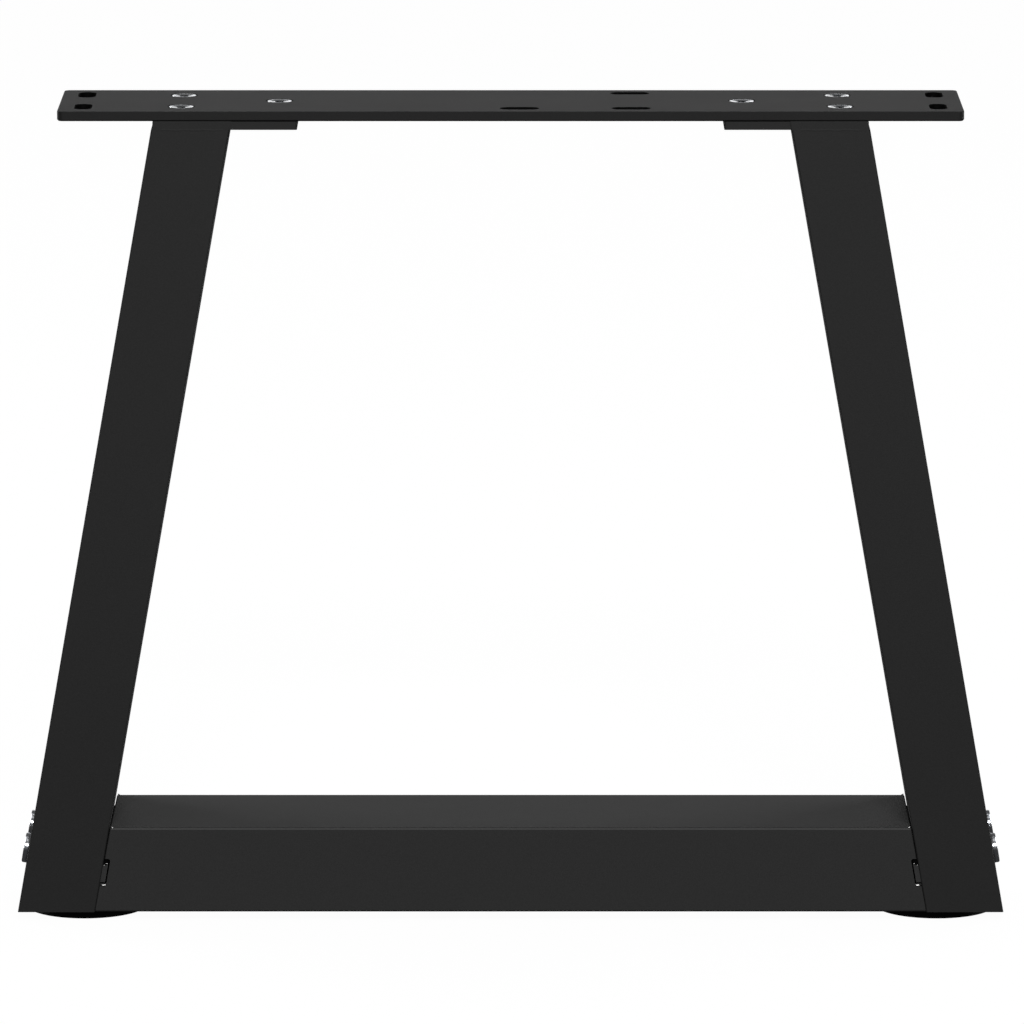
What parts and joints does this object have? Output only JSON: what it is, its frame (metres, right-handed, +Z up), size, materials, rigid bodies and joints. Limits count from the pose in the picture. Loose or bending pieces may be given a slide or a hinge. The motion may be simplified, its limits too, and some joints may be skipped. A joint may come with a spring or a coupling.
{
  "type": "coffee table leg",
  "caption": "Trapezoid steel coffee table leg: slotted mounting plate on leaning rectangular tubes, bolted floor beam and levelling feet.",
  "frame": {"origin": "on the floor, midway between the feet in width and depth", "axes": "+X along the width of the frame, +Y from its front to its back, +Z up to the mounting plate"},
  "size_m": [0.506, 0.08, 0.42],
  "materials": {
    "powder_coat": "fine-grained satin black powder coat on steel",
    "zinc": "bright zinc plate",
    "foot_plastic": "moulded black plastic"
  },
  "bodies": {
    "frame": {"top_plate": "powder_coat", "left_leg_tube": "powder_coat", "right_leg_tube": "powder_coat", "left_top_flange": "powder_coat", "right_top_flange": "powder_coat", "left_plate_screws": "zinc", "right_plate_screws": "zinc", "left_foot_block": "powder_coat", "right_foot_block": "powder_coat", "floor_beam": "powder_coat", "left_beam_end_plate": "powder_coat", "right_beam_end_plate": "powder_coat", "left_beam_nuts": "zinc", "right_beam_nuts": "zinc", "left_beam_bolts": "zinc", "right_beam_bolts": "zinc"},
    "left_foot": {"left_foot_stud": "zinc", "left_foot_pad": "foot_plastic"},
    "right_foot": {"right_foot_stud": "zinc", "right_foot_pad": "foot_plastic"}
  },
  "joints": [
    {"name": "left_foot_level", "type": "slide", "parent": "frame", "child": "left_foot", "axis": [0, 0, -1], "range_m": [0, 0.013]},
    {"name": "right_foot_level", "type": "slide", "parent": "frame", "child": "right_foot", "axis": [0, 0, -1], "range_m": [0, 0.013]}
  ]
}
